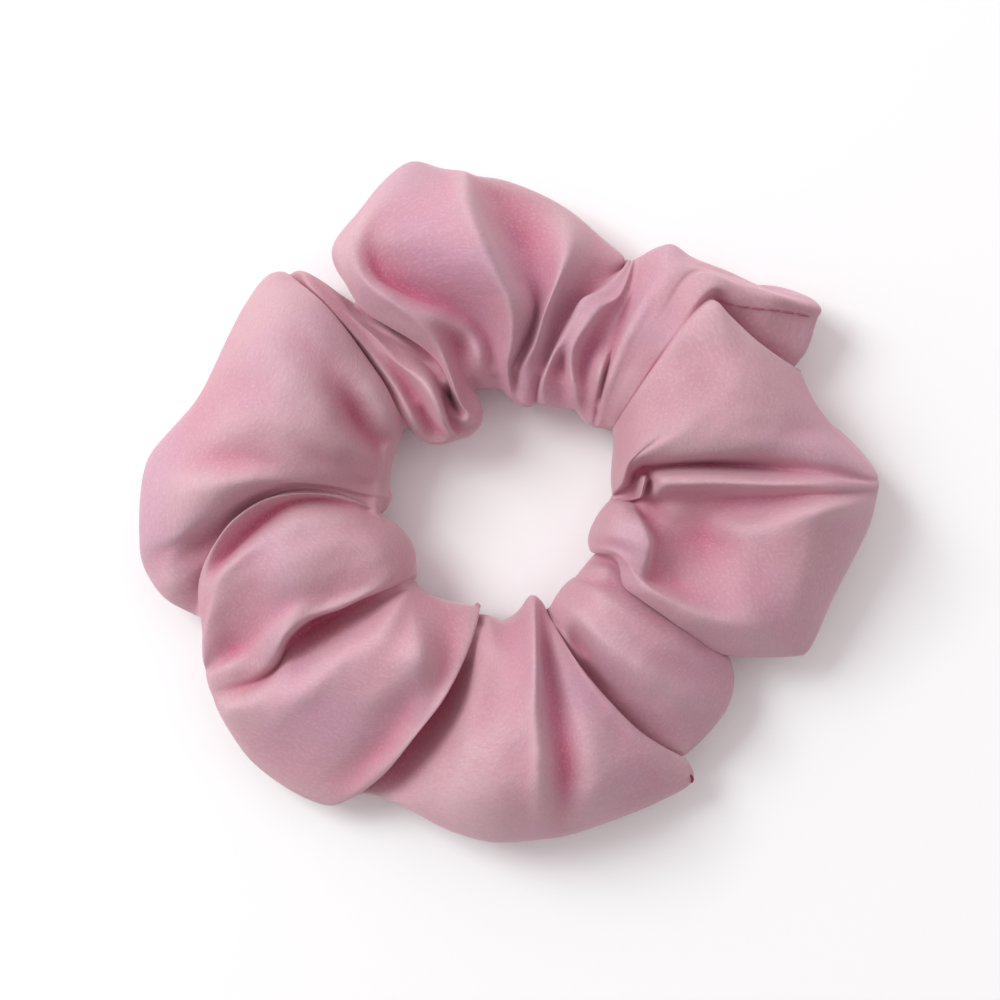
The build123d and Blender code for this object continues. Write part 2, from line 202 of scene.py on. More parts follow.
TOP_PUFF = [
    [(4.2, 15.6, 8.3), (4.9, 19.2, 12.3), (6.6, 23.5, 13.5), (8.2, 27.3, 13.8), (10.8, 30.8, 13),
     (14.2, 34.2, 11.5), (17.5, 36.6, 7)],
    [(3.9, 15.5, 8.5), (4.4, 19.5, 12.8), (5.9, 23.8, 14), (7.2, 28.2, 14.2), (9.6, 32, 14),
     (13.2, 36, 12), (17.9, 38.1, 7.3)],
    [(3.4, 15.3, 8.8), (3.3, 19.3, 13.5), (5.2, 24, 15), (6.6, 29, 15.5), (9, 34, 16.4),
     (12.3, 38, 13), (14.6, 41.1, 7)],
    # thin ridge that widens outwards, and the valley beside it
    [(2.6, 15.3, 9), (1.9, 19.8, 13.6), (3.9, 24, 17), (5.5, 29, 18.6), (7.6, 34.5, 18.6),
     (9.3, 39.5, 16.2), (9.6, 43.2, 11.8), (9.4, 45.4, 7.3)],
    [(1.9, 15.5, 9), (1.3, 20.3, 12.6), (3.3, 24.4, 14.5), (5.0, 29.5, 17), (6.2, 35, 17),
     (5.6, 40.6, 14.4), (4.8, 45.2, 10.6), (4.2, 48.4, 7)],
    [(1.5, 15.7, 8.8), (0.9, 20.5, 12.4), (2.6, 24.2, 13.6), (4.2, 29.3, 15.2), (3.4, 35, 16.6),
     (0.4, 41.8, 14.3), (-0.8, 46.6, 10.7), (-1.2, 50.4, 7)],
    [(0.9, 16.1, 8.8), (0.4, 20.7, 13.2), (1.9, 24.4, 15.6), (2.9, 29.3, 18.4), (0.6, 35.2, 19.6),
     (-2.9, 42.2, 18.4), (-4.5, 47.3, 14.2), (-5, 50.9, 7.5)],
    # main ridge
    [(0.0, 16.8, 9), (-0.2, 21, 15.2), (0.4, 24.6, 19), (0.2, 29.5, 22.3), (-2.4, 35.5, 24.3),
     (-5.4, 42.5, 23.6), (-6.6, 47.7, 18.9), (-7, 51.4, 8.6)],
    [(-0.8, 17.5, 8.8), (-1.0, 21.4, 14.8), (-0.9, 25.6, 18.4), (-2, 30.5, 22), (-5.8, 36.5, 24.2),
     (-9, 44, 21.8), (-10.5, 51.9, 8.5)],
    # long valley that ends in a dimple
    [(-2.0, 18.0, 8.5), (-2.5, 21.3, 12.6), (-3.2, 25.2, 14.5), (-8, 29, 17.5),
     (-13.7, 31.3, 19.3), (-18.6, 34.2, 20.6), (-19.5, 40, 21.2), (-17.5, 47, 17.5), (-15, 52.9, 8.5)],
    [(-4.2, 18.0, 8.8), (-4.4, 21.8, 15), (-6, 25.5, 16.5), (-11, 28.2, 20), (-16.5, 31, 21.5),
     (-20.8, 34.6, 21.7), (-22.5, 40, 21), (-21, 45, 17), (-19, 50.2, 8.5)],
    [(-5.4, 17.7, 8.5), (-6.6, 20, 12.8), (-7.6, 23.5, 14.5), (-11.5, 26.8, 20), (-16.5, 29.6, 22),
     (-21.6, 33.3, 22), (-24.3, 38.3, 20), (-23.8, 42.3, 15), (-22.8, 45.6, 8.5)],
    # rolled rim over the upper left puff, and its hooked end at the opening
    [(-4.6, 15.8, 9.3), (-7.3, 16.8, 14.5), (-8.9, 20.3, 17), (-10.8, 23.6, 19), (-14, 26.7, 20.5),
     (-18.5, 29.4, 20.8), (-23, 32.8, 19.5), (-25.8, 37, 15), (-27.1, 39.8, 8.5)],
    [(-4.2, 14.2, 9.3), (-7.3, 15.2, 15), (-9.3, 19.3, 16.5), (-11.2, 22.3, 17),
     (-14.3, 24.6, 17.5), (-18.5, 27, 17), (-22.5, 29.7, 14), (-24.6, 33, 10), (-26.4, 36.2, 7.5)],
    [(-4.25, 13.6, 9.2), (-6.4, 13.6, 14), (-8.6, 16.6, 12), (-10.8, 21.2, 12.8), (-14.6, 25.0, 12),
     (-19, 28.2, 10.5), (-22, 31.5, 8), (-24.5, 34.5, 6)],
]

UPPER_LEFT_PUFF = [
    [(-4.5, 12.3, 9.2), (-7.0, 12.6, 13.4), (-9.3, 16.4, 9.5), (-11.0, 20.3, 12.7),
     (-14.8, 23.7, 12.5), (-19, 26.8, 12), (-22.5, 29.2, 9.5), (-24.3, 30.8, 6.5)],
    [(-6.4, 10.6, 9.2), (-8.6, 11.9, 11.5), (-10.0, 15.5, 12), (-11.8, 19.6, 13.4),
     (-15.6, 22.9, 13.6), (-19.8, 26, 12.8), (-23.8, 29.2, 10.5), (-25.6, 31.9, 7)],
    [(-8.2, 10.0, 9.2), (-9.9, 12.0, 15), (-11.3, 15.4, 16.8), (-13.2, 18.4, 16.5),
     (-17, 21.8, 15), (-21, 25.8, 14), (-24.5, 29.2, 11.5), (-27, 32.9, 7.5)],
    [(-10.5, 9.3, 8.8), (-12.3, 12.6, 11.5), (-14.6, 16.3, 12.8), (-17.2, 20.2, 14.2),
     (-20.3, 23.6, 14.6), (-24, 28, 13), (-28, 32, 10.5), (-29.8, 34.8, 7.8)],
    [(-13.3, 9.6, 9), (-14.8, 12.8, 14), (-17, 17, 15), (-20.2, 21.3, 15.2), (-23.7, 25.6, 14.6),
     (-27.5, 30, 12.5), (-31, 33.6, 10.5), (-32.6, 36.0, 8)],
    [(-15.2, 11.3, 8.7), (-16.8, 13.6, 13), (-19.2, 18.1, 13.8), (-22.2, 22.6, 14),
     (-26.1, 27.6, 13.4), (-30.6, 32.1, 11), (-34.6, 35.5, 7)],
    # main front edge
    [(-16.2, 11.8, 9.2), (-17.3, 14, 14.5), (-19.3, 18, 16.5), (-22, 21.8, 17.5),
     (-25.2, 26.2, 18), (-28.8, 30.5, 16.5), (-32.3, 33.6, 12.5), (-35.6, 35.7, 8.2)],
    [(-17.2, 9.8, 9.5), (-18.6, 12, 16), (-21.2, 16.2, 19), (-24.5, 21, 20.5), (-28.5, 25.6, 21.5),
     (-32.8, 30, 19.5), (-36, 33.3, 14), (-37.8, 35.0, 8.3)],
    [(-18.2, 7.6, 9), (-20.4, 9.2, 13.3), (-23.6, 13, 17.2), (-26.2, 17.4, 21.6), (-30, 23, 23),
     (-35, 28, 21), (-39.3, 31, 14), (-41.2, 30.5, 8.3)],
    [(-18.5, 6.2, 9.2), (-21.2, 7.2, 15), (-25, 10.2, 21.8), (-29.5, 15.2, 24.8), (-35, 20.5, 24),
     (-40, 24.2, 19.5), (-44, 25.2, 8.5)],
    [(-18.8, 5, 9.3), (-22, 5.6, 15.5), (-27, 8.2, 22.8), (-33, 12, 25), (-39, 15.6, 22.8),
     (-44.5, 17.6, 16.5), (-48.3, 16.5, 8.5)],
    [(-18.9, 4, 9.3), (-22.6, 4.1, 15.5), (-28, 6.2, 21.8), (-34.5, 8.7, 24), (-42, 10.8, 22),
     (-48, 11.6, 15.5), (-52.3, 11.7, 8.5)],
    [(-19, 3.0, 9.3), (-23, 3, 15), (-29, 4.2, 21), (-36, 5.8, 22.6), (-44, 6.5, 20.5),
     (-51, 6.6, 15.5), (-56, 7, 8.5)],
    [(-19, 1.8, 9.3), (-23.5, 2.0, 15.3), (-30, 2.9, 19.5), (-37, 3.3, 21.8), (-44, 2.6, 21.8),
     (-51, 1.8, 17.5), (-57.3, 1.5, 8.5)],
    # lower edge, which overhangs a deep valley
    [(-18.7, 0.9, 9.2), (-22.8, 1.4, 14.5), (-28, 2.8, 17.3), (-33, 3.0, 18.6), (-38.5, 1.9, 19.4),
     (-45, -1.2, 19), (-51.5, -4.8, 15.5), (-57.5, -5.5, 8.5)],
    [(-18.9, 0, 8.8), (-22.5, 0.9, 13.4), (-28, 2.2, 16.2), (-33, 2.3, 16.9), (-39, 0.7, 16.2),
     (-45.6, -3.3, 15.3), (-52.3, -7.2, 13), (-57.4, -8.6, 7.7)],
    [(-19.3, -0.7, 8.4), (-22.6, 0.3, 13.3), (-28, 1.8, 15.9), (-34, 1.8, 16.3),
     (-40.5, -1.5, 14), (-46.6, -6, 12.3), (-52.8, -9.8, 11.8), (-56.6, -11, 7)],
    [(-19.5, -1.1, 8.2), (-22.8, 0, 13.3), (-28.5, 1.6, 15.8), (-35, 1.3, 15.6),
     (-42, -2.9, 12.8), (-47.5, -9.2, 11.5), (-52, -13, 11), (-53.8, -14.8, 7)],
    [(-19.8, -1.4, 8), (-23, -0.2, 13.5), (-29, 1.5, 16.1), (-36, 0.9, 15.8), (-42.7, -4, 12.8),
     (-47.2, -11.5, 10.5), (-48.9, -16, 8.5), (-49.6, -17.4, 5.5)],
]

LOWER_LEFT_PUFF = [
    # thin crescent strip, the crease under it, and the panel below
    [(-20.2, -1.6, 8.8), (-22.5, -0.4, 13.8), (-26, 0.8, 16), (-30, 1.2, 17), (-34, 1.0, 17.2),
     (-38, -0.1, 17), (-42, -2.7, 16.4), (-44.5, -5.5, 15.4), (-47.4, -10.2, 12.5),
     (-48.5, -14.5, 10), (-48.2, -18.1, 7)],
    [(-20.3, -1.9, 8.6), (-22.7, -1.1, 13.4), (-26, -0.2, 14.6), (-30, 0.3, 15.1),
     (-33.8, -0.4, 14.7), (-37, -2.3, 14.2), (-40.3, -5, 13.7), (-43.4, -8.1, 13.3),
     (-46.8, -12, 13.5), (-48, -16, 11), (-47.95, -19.3, 7)],
    [(-19.9, -2.2, 9.2), (-22.6, -2.2, 15), (-27, -1.8, 17.8), (-31.5, -2.2, 19), (-36, -4.4, 18.8),
     (-40.6, -7.8, 18), (-44.5, -11.5, 16), (-47, -17, 12), (-47.9, -21, 7.5)],
    [(-18.2, -3.3, 9.5), (-21.5, -4.2, 16.5), (-27, -5, 19.5), (-33, -6.4, 20), (-39, -9.5, 18.2),
     (-44, -14, 15.5), (-47, -19.5, 11.5), (-47.9, -23, 7.5)],
    [(-16.3, -5.3, 9.5), (-20, -6.9, 17.5), (-26, -8.7, 19.5), (-32, -10.8, 20.2), (-38, -14, 17),
     (-43.5, -18.5, 12.8), (-46.8, -22.5, 10), (-47.7, -24.9, 7.5)],
    [(-14.95, -8, 9.5), (-18.8, -9.5, 17), (-25, -11.8, 18.7), (-30.6, -13.9, 19),
     (-35.3, -16.8, 16.8), (-39.5, -20.3, 13), (-43, -23.3, 9.8), (-45.4, -24.8, 9),
     (-47.45, -26.4, 6.8)],
    [(-14.8, -9.6, 9.4), (-18.3, -11.3, 16.5), (-23.5, -13.3, 17.8), (-28.5, -15.3, 18),
     (-32.8, -17, 18), (-36.7, -20.3, 15.4), (-40, -23.8, 12.2), (-43.6, -25.4, 11),
     (-47.25, -27.2, 7.4)],
    # short overhanging fold beside the opening, which ends in a soft tongue
    [(-14.7, -11.3, 9.3), (-18, -12.9, 14.8), (-22, -14.4, 17), (-26, -16.2, 17.2),
     (-30.5, -17.7, 17), (-34, -20.4, 16.6), (-36.6, -24.4, 13.6), (-40, -27, 11.4),
     (-44, -28, 10.2), (-46.8, -28.9, 7.5)],
    [(-14.75, -11.9, 8.6), (-18, -13.3, 12.6), (-22.3, -15.1, 12.4), (-26.7, -17.2, 11),
     (-30.7, -19, 10.2), (-34, -21.8, 11), (-36.2, -25.8, 10.8), (-39.8, -28.2, 10.4),
     (-43.7, -29.6, 9.6), (-46.3, -30.2, 7.5)],
    [(-14.9, -12.4, 8.8), (-18, -14.2, 13), (-22.5, -17, 13), (-26.8, -20, 12.6), (-31, -23, 13),
     (-35, -27, 14.4), (-39.5, -30.3, 13.2), (-43.5, -32, 10.8), (-45.3, -32.7, 7)],
    [(-14.7, -12.7, 9), (-17.2, -15, 15), (-21, -18.8, 17), (-25.5, -23, 18.5), (-30.5, -28, 17.8),
     (-35.5, -31.9, 14.8), (-40.3, -35.2, 10.6), (-43.2, -36.7, 6)],
    [(-14.6, -12.9, 9), (-16.6, -15.4, 16), (-19.2, -19.5, 19.5), (-23, -25, 19.6), (-28.5, -31, 17),
     (-34.2, -36.1, 12.4), (-38.2, -39.6, 8.2), (-40, -41, 5.5)],
    [(-14.4, -13.2, 9.2), (-15.5, -17, 17), (-16.8, -22.5, 20.5), (-19.5, -28.5, 19.2),
     (-23.5, -34.5, 15.8), (-28.3, -40.6, 11), (-31.7, -44.5, 7.6), (-33, -45.9, 5.5)],
    [(-14.1, -13.6, 9.3), (-14, -17.8, 17), (-13.3, -23.5, 20.8), (-15, -29.5, 18),
     (-19, -36, 14.4), (-23.7, -41.9, 10.4), (-26.9, -46.1, 7.8), (-28, -47.5, 5.5)],
    [(-10.8, -15.3, 9), (-9.6, -19, 14.5), (-10, -25, 17), (-12.3, -31, 17.4), (-16.5, -37.3, 15),
     (-21, -42.8, 11), (-24.9, -46.3, 6.5)],
]

FOLD_LINES = (
    BOTTOM_PUFF + LOWER_RIGHT_PUFF + RIGHT_PUFF + UPPER_RIGHT_PUFF
    + GATHERS + TOP_PUFF + UPPER_LEFT_PUFF + LOWER_LEFT_PUFF
)

# ---------------------------------------------------------------------------
# Cloth surface: closed loops along the fold lines, joined round the ring
# ---------------------------------------------------------------------------

# Underside of every line, from the rim to the opening: share of the line's width, and height
UNDERSIDE = ((0.93, 2.6), (0.78, 0.7), (0.5, 0.45), (0.24, 0.9), (0.06, 3.6))

ROWS_TOP = 112  # points along a line, over the top
ROWS_UNDER = 36  # points along a line, back underneath
BETWEEN = 6  # columns from one fold line to the next
SPAN_STEPS = 24  # points on each span of a line, before they are spaced out
CLOTH_THICKNESS = 0.25
REST_HEIGHT = 0.25  # lowest point of the cloth above the table
UNDERSIDE_LIMIT = 3  # cloth lower than this is kept above the table
SMOOTHING = 0.5  # share of the way that a point moves to the middle of its neighbours
WIDE_SMOOTHING = 0.9
SHARPEN_ROUNDS = 100
SHARPEN_GAIN = np.array([0.12, 0.12, 0.6])  # what ridges and valleys gain in x, y and height
HOLLOW_ROUNDS = 50

# Room that the cloth keeps over the elastic band
ELASTIC_MIDDLE_RADIUS = 22.5
ELASTIC_REACH = 1.3
ELASTIC_FADE = 1.8
ELASTIC_TOP = 12.6

# Loose waves in the cloth: height of each kind, how closely it is packed, and its own layer
# of the noise field
GATHER_WAVE = 0.55
GATHER_PACKING = 9
GATHER_DRIFT = 0.045
GATHER_LIMIT = 46  # distance from the middle where the gathers' waves have died out
GATHER_FADE = 24
SLACK_WAVE = 0.45
SLACK_PACKING = 0.16
SLACK_LAYER = 4.2
FINE_WAVE = 0.12
FINE_PACKING = 0.42
FINE_LAYER = 9.7


def curve(points, closed, steps):
    """Points on a smooth curve through the given ones, with so many steps on each span."""
    p = np.asarray(points, float)
    if closed:
        q = np.vstack([p[-1:], p, p[:2]])
    else:
        q = np.vstack([2 * p[:1] - p[1:2], p, 2 * p[-1:] - p[-2:-1]])
    s = (np.arange(steps) / steps)[:, None]
    spans = []
    for a, b, c, d in zip(q, q[1:], q[2:], q[3:]):
        k1 = max(np.linalg.norm(b - a) ** 0.5, 1e-4)
        k2 = max(np.linalg.norm(c - b) ** 0.5, 1e-4)
        k3 = max(np.linalg.norm(d - c) ** 0.5, 1e-4)
        m1 = k2 * ((b - a) / k1 - (c - a) / (k1 + k2) + (c - b) / k2)
        m2 = k2 * ((c - b) / k2 - (d - b) / (k2 + k3) + (d - c) / k3)
        spans.append(
            (2 * s**3 - 3 * s**2 + 1) * b + (s**3 - 2 * s**2 + s) * m1
            + (3 * s**2 - 2 * s**3) * c + (s**3 - s**2) * m2
        )
    if not closed:
        spans.append(p[-1:])
    return np.vstack(spans)


def lengths_along(path):
    steps = np.linalg.norm(np.diff(path, axis=0), axis=1)
    return np.concatenate([[0], np.cumsum(steps)])


def read_off(path, known, wanted):
    """The path's points at the wanted places, where known places its own points."""
    return np.stack([np.interp(wanted, known, path[:, k]) for k in range(3)], axis=1)


def spaced(path, count):
    """The same path with evenly spaced points."""
    far = lengths_along(path)
    return read_off(path, far, np.linspace(0, far[-1], count))


def points_of(line):
    return line["points"] if isinstance(line, dict) else line


def under_angles(lines):
    """A steady angle round the ring for each line, for the plain underside."""
    mids = np.array([np.mean(points_of(line), axis=0)[:2] for line in lines])
    raw = np.unwrap(np.arctan2(mids[:, 1], mids[:, 0]))
    wide = np.concatenate([raw - 2 * np.pi, raw, raw + 2 * np.pi])
    for _ in range(40):
        wide[1:-1] = (wide[:-2] + 2 * wide[1:-1] + wide[2:]) / 4
    count = len(lines)
    return np.maximum.accumulate(wide[count:2 * count])


def cross_section(line, angle):
    """The whole closed loop of one fold line: over the top, then back underneath."""
    top = np.asarray(points_of(line), float)
    inner, outer = np.hypot(*top[0, :2]), np.hypot(*top[-1, :2])
    way = np.array([np.cos(angle), np.sin(angle)])
    width = outer - inner
    under = []
    for share, height in UNDERSIDE:
        flat = way * (inner + share * width)
        if share > 0.9:  # drawn towards the line's own rim end
            flat = 0.55 * flat + 0.45 * top[-1, :2] * 0.96
        if share < 0.1:  # drawn towards its own end at the opening
            flat = 0.35 * flat + 0.65 * top[0, :2] * 1.04
        under.append([flat[0], flat[1], height])
    fine = curve(np.vstack([top, under]), True, SPAN_STEPS)
    rim = (len(top) - 1) * SPAN_STEPS
    over = fine[: rim + 1]
    back = np.vstack([fine[rim:], fine[:1]])
    if isinstance(line, dict):
        corners = SPAN_STEPS * np.arange(len(top))
        wanted = np.interp(np.linspace(0, 1, ROWS_TOP), line["stations"], corners)
        over = read_off(over, np.arange(len(over)), wanted)
    else:
        over = spaced(over, ROWS_TOP)
    return np.vstack([over[:-1], spaced(back, ROWS_UNDER)[:-1]])


def cloth_grid():
    """Points of the cloth: round the ring, along the section, and x, y, height."""
    angles = under_angles(FOLD_LINES)
    loops = np.array([cross_section(line, angle) for line, angle in zip(FOLD_LINES, angles)])
    rings = [curve(loops[:, row], True, BETWEEN) for row in range(loops.shape[1])]
    return np.stack(rings, axis=1)


def smoothed(grid, rounds, share=SMOOTHING):
    for _ in range(rounds):
        near = (
            np.roll(grid, 1, 0) + np.roll(grid, -1, 0) + np.roll(grid, 1, 1) + np.roll(grid, -1, 1)
        ) / 4
        grid = grid + share * (near - grid)
    return grid


def sharpened(grid):
    """Deepens valleys and lifts ridges, measured against the same cloth smoothed."""
    return grid + SHARPEN_GAIN * (grid - smoothed(grid, SHARPEN_ROUNDS, WIDE_SMOOTHING))


def uneven(grid):
    """Small soft waves that run with the gathers, and slacker ones across the puffs."""
    out = grid.copy()
    for i in range(grid.shape[0]):
        for k in range(ROWS_TOP):
            x, y = grid[i, k, :2]
            far = max(np.hypot(x, y), 1)
            turn = np.arctan2(y, x)
            gather = noise.noise(Vector((
                np.cos(turn) * GATHER_PACKING, np.sin(turn) * GATHER_PACKING, far * GATHER_DRIFT
            )))
            slack = noise.noise(Vector((x * SLACK_PACKING, y * SLACK_PACKING, SLACK_LAYER)))
            fine = noise.noise(Vector((x * FINE_PACKING, y * FINE_PACKING, FINE_LAYER)))
            fade = np.sin(np.pi * k / ROWS_TOP)
            near_hole = np.clip((GATHER_LIMIT - far) / GATHER_FADE, 0, 1)
            wave = GATHER_WAVE * gather * near_hole + SLACK_WAVE * slack + FINE_WAVE * fine
            out[i, k, 2] += fade * wave
    return out


def kept_above(height, floor, firmness):
    """The same heights, softly bent so that none is under the floor."""
    return floor + np.log1p(np.exp((height - floor) * firmness)) / firmness


def clear_of_elastic(grid):
    """Keeps the top of the cloth over the elastic band inside it."""
    top = grid[:, :ROWS_TOP]
    far = np.hypot(top[..., 0], top[..., 1])
    off = np.maximum(np.abs(far - ELASTIC_MIDDLE_RADIUS) - ELASTIC_REACH, 0)
    share = np.clip(1 - off / ELASTIC_FADE, 0, 1)
    share = share * share * (3 - 2 * share)
    top[..., 2] += share * (kept_above(top[..., 2], ELASTIC_TOP, 3) - top[..., 2])
    return grid


def clear_of_table(grid):
    """Keeps the underside of the cloth just above the table."""
    height = grid[..., 2]
    grid[..., 2] = np.where(
        height < UNDERSIDE_LIMIT, kept_above(height, REST_HEIGHT, 4), height
    )
    return grid


def new_object(name, vertices, faces):
    """A smooth-shaded mesh object in the scene; vertices are in metres."""
    mesh = bpy.data.meshes.new(name)
    mesh.from_pydata(vertices, [], faces)
    mesh.update()
    mesh.polygons.foreach_set("use_smooth", [True] * len(mesh.polygons))
    made = bpy.data.objects.new(name, mesh)
    bpy.context.scene.collection.objects.link(made)
    return made


def grid_object(name, grid):
    """A closed tube of quads over the grid."""
    around, along = grid.shape[:2]
    a = np.arange(around * along).reshape(around, along)
    b = np.roll(a, -1, 0)
    faces = np.stack([a, b, np.roll(b, -1, 1), np.roll(a, -1, 1)], axis=-1).reshape(-1, 4)
    return new_object(name, (grid.reshape(-1, 3) * MM).tolist(), faces.tolist())


def add_cloth_lengths(mesh, grid):
    """UVs in metres of cloth: round the ring, and along the section."""
    around, along = grid.shape[:2]
    step_u = np.linalg.norm(np.roll(grid, -1, 0) - grid, axis=2).mean(axis=1)
    step_v = np.linalg.norm(np.roll(grid, -1, 1) - grid, axis=2)
    u = np.concatenate([[0], np.cumsum(step_u)]) * MM
    v = np.concatenate([np.zeros((around, 1)), np.cumsum(step_v, axis=1)], axis=1) * MM
    v = np.vstack([v, v[:1]])
    i = np.repeat(np.arange(around)[:, None], along, axis=1)
    k = np.repeat(np.arange(along)[None], around, axis=0)
    corners = [(i, k), (i + 1, k), (i + 1, k + 1), (i, k + 1)]
    pairs = np.stack([np.stack([u[a], v[a, b]], axis=-1) for a, b in corners], axis=2)
    mesh.uv_layers.new(name="cloth_lengths").data.foreach_set("uv", pairs.reshape(-1))


def add_hollow_depth(mesh, grid):
    """How far each point lies below the cloth round it, in millimetres; ridges are negative."""
    wide = smoothed(grid, HOLLOW_ROUNDS, WIDE_SMOOTHING)
    across = np.roll(grid, -1, 1) - np.roll(grid, 1, 1)
    round_ring = np.roll(grid, -1, 0) - np.roll(grid, 1, 0)
    normal = np.cross(round_ring, across)
    normal /= np.linalg.norm(normal, axis=2, keepdims=True) + 1e-9
    middle = np.mean(grid, axis=1, keepdims=True)
    facing = np.sum(normal * (grid - middle), axis=2, keepdims=True)
    normal *= np.where(np.mean(facing) > 0, 1, -1)
    depth = np.sum((wide - grid) * normal, axis=2)
    layer = mesh.attributes.new("hollow_depth", "FLOAT", "POINT")
    layer.data.foreach_set("value", depth.reshape(-1).astype(np.float32))


grid = uneven(sharpened(smoothed(cloth_grid(), 2)))
grid = clear_of_elastic(smoothed(clear_of_elastic(grid), 1))
grid = clear_of_table(grid)
cover = grid_object("satin_tube", grid)
add_cloth_lengths(cover.data, grid)
add_hollow_depth(cover.data, grid)

# ---------------------------------------------------------------------------
# Materials
# ---------------------------------------------------------------------------


def linear(red, green, blue):
    """A colour given as it looks on a screen, from 0 to 255."""

    def one(v):
        v = v / 255
        return v / 12.92 if v <= 0.04045 else ((v + 0.055) / 1.055) ** 2.4

    return (one(red), one(green), one(blue), 1)


ROSE = linear(202, 163, 170)
# Painted shade: a deeper rose mixed into the cloth's colour in its creases and valleys
CREASE_SHADE_ROSE = linear(192, 92, 122)
LILAC = linear(196, 148, 176)
WARM = linear(214, 150, 158)
SLUB = linear(186, 128, 146)
PALE = linear(232, 196, 204)
SHEEN = linear(240, 205, 215)
STITCH_ROSE = linear(164, 92, 114)
MAROON = linear(132, 22, 48)
BRAID_WHITE = linear(232, 230, 226)
THREAD_WHITE = linear(238, 236, 232)
PAPER_WHITE = (0.96, 0.985, 0.975, 1)

RIDGE_DEPTH = -1.2  # hollow depth, in millimetres, that is plain rose
VALLEY_DEPTH = 2.3  # hollow depth that gets the full painted crease shade
SCATTER_LENGTH = 0.0014  # how far light spreads inside the cloth, in metres
WEAVE_BUMP = 0.00007  # height of the weave, in metres
SLACK_BUMP = 0.0008
RIB_BUMP = 0.0002
RIBS = 90  # ribs round the elastic band


def plain_material(name, colour, roughness):
    """A material with its shader, ready for more nodes."""
    mat = bpy.data.materials.new(name)
    mat.use_nodes = True
    shader = mat.node_tree.nodes["Principled BSDF"]
    shader.inputs["Base Color"].default_value = colour
    shader.inputs["Roughness"].default_value = roughness
    return mat, shader


def added_bump(nodes, links, height, strength, distance):
    bump = nodes.new("ShaderNodeBump")
    bump.inputs["Strength"].default_value = strength
    bump.inputs["Distance"].default_value = distance
    links.new(height, bump.inputs["Height"])
    return bump


def satin_material():
    mat, shader = plain_material("rose_satin", ROSE, 0.64)
    nodes, links = mat.node_tree.nodes, mat.node_tree.links
    shader.inputs["Specular IOR Level"].default_value = 0.35
    shader.inputs["Sheen Weight"].default_value = 0.5
    shader.inputs["Sheen Roughness"].default_value = 0.45
    shader.inputs["Sheen Tint"].default_value = SHEEN
    shader.inputs["Subsurface Weight"].default_value = 0.22
    shader.inputs["Subsurface Radius"].default_value = (1, 0.45, 0.6)
    shader.inputs["Subsurface Scale"].default_value = SCATTER_LENGTH
    where = nodes.new("ShaderNodeTexCoord")

    def cloudy(scale, detail, stretch=(1, 1, 1), along="Object"):
        placed = nodes.new("ShaderNodeMapping")
        placed.inputs["Scale"].default_value = stretch
        field = nodes.new("ShaderNodeTexNoise")
        field.inputs["Scale"].default_value = scale
        field.inputs["Detail"].default_value = detail
        links.new(where.outputs[along], placed.inputs["Vector"])
        links.new(placed.outputs["Vector"], field.inputs["Vector"])
        return field.outputs["Fac"]

    def tinted(source, share, tint):
        blend = nodes.new("ShaderNodeMix")
        blend.data_type = "RGBA"
        blend.inputs["B"].default_value = tint
        links.new(share, blend.inputs["Factor"])
        links.new(source, blend.inputs["A"])
        return blend.outputs["Result"]

    def ramped(value, low, high, most, kind="LINEAR"):
        part = nodes.new("ShaderNodeMapRange")
        part.interpolation_type = kind
        part.inputs["From Min"].default_value = low
        part.inputs["From Max"].default_value = high
        part.inputs["To Max"].default_value = most
        links.new(value, part.inputs["Value"])
        return part.outputs["Result"]

    plain = nodes.new("ShaderNodeRGB")
    plain.outputs["Color"].default_value = ROSE
    depth = nodes.new("ShaderNodeAttribute")
    depth.attribute_name = "hollow_depth"
    # Painted shade: the colour turns towards a deeper rose where the cloth lies below the cloth round
    # it
    painted_crease_shade = ramped(depth.outputs["Fac"], RIDGE_DEPTH, VALLEY_DEPTH, 1, "SMOOTHSTEP")
    slub = cloudy(2600, 2, (0.3, 1, 1), "UV")
    grain = cloudy(3000, 1, (1, 0.6, 1), "UV")
    colour = tinted(plain.outputs["Color"], painted_crease_shade, CREASE_SHADE_ROSE)
    colour = tinted(colour, ramped(cloudy(45, 2), 0.46, 0.70, 0.42), LILAC)
    colour = tinted(colour, ramped(cloudy(80, 3), 0.52, 0.75, 0.30), WARM)
    colour = tinted(colour, ramped(slub, 0.44, 0.72, 0.26), SLUB)
    colour = tinted(colour, ramped(grain, 0.48, 0.75, 0.20), PALE)
    links.new(colour, shader.inputs["Base Color"])

    weave = nodes.new("ShaderNodeMath")
    weave.operation = "ADD"
    links.new(slub, weave.inputs[0])
    links.new(grain, weave.inputs[1])
    slack = added_bump(nodes, links, cloudy(260, 3, (0.5, 1, 1)), 0.25, SLACK_BUMP)
    bump = added_bump(nodes, links, weave.outputs["Value"], 0.6, WEAVE_BUMP)
    links.new(slack.outputs["Normal"], bump.inputs["Normal"])
    links.new(bump.outputs["Normal"], shader.inputs["Normal"])
    return mat


def thread_material(name, colour):
    mat, _ = plain_material(name, colour, 0.55)
    return mat


def braid_material():
    """White braided elastic, with fine ribs across the band."""
    mat, shader = plain_material("white_braid", BRAID_WHITE, 0.8)
    nodes, links = mat.node_tree.nodes, mat.node_tree.links
    where = nodes.new("ShaderNodeTexCoord")
    around = nodes.new("ShaderNodeTexGradient")
    around.gradient_type = "RADIAL"
    ribs = nodes.new("ShaderNodeMath")
    ribs.operation = "MULTIPLY"
    ribs.inputs[1].default_value = 2 * np.pi * RIBS
    wave = nodes.new("ShaderNodeMath")
    wave.operation = "SINE"
    links.new(where.outputs["Object"], around.inputs["Vector"])
    links.new(around.outputs["Fac"], ribs.inputs[0])
    links.new(ribs.outputs["Value"], wave.inputs[0])
    bump = added_bump(nodes, links, wave.outputs["Value"], 0.6, RIB_BUMP)
    links.new(bump.outputs["Normal"], shader.inputs["Normal"])
    return mat


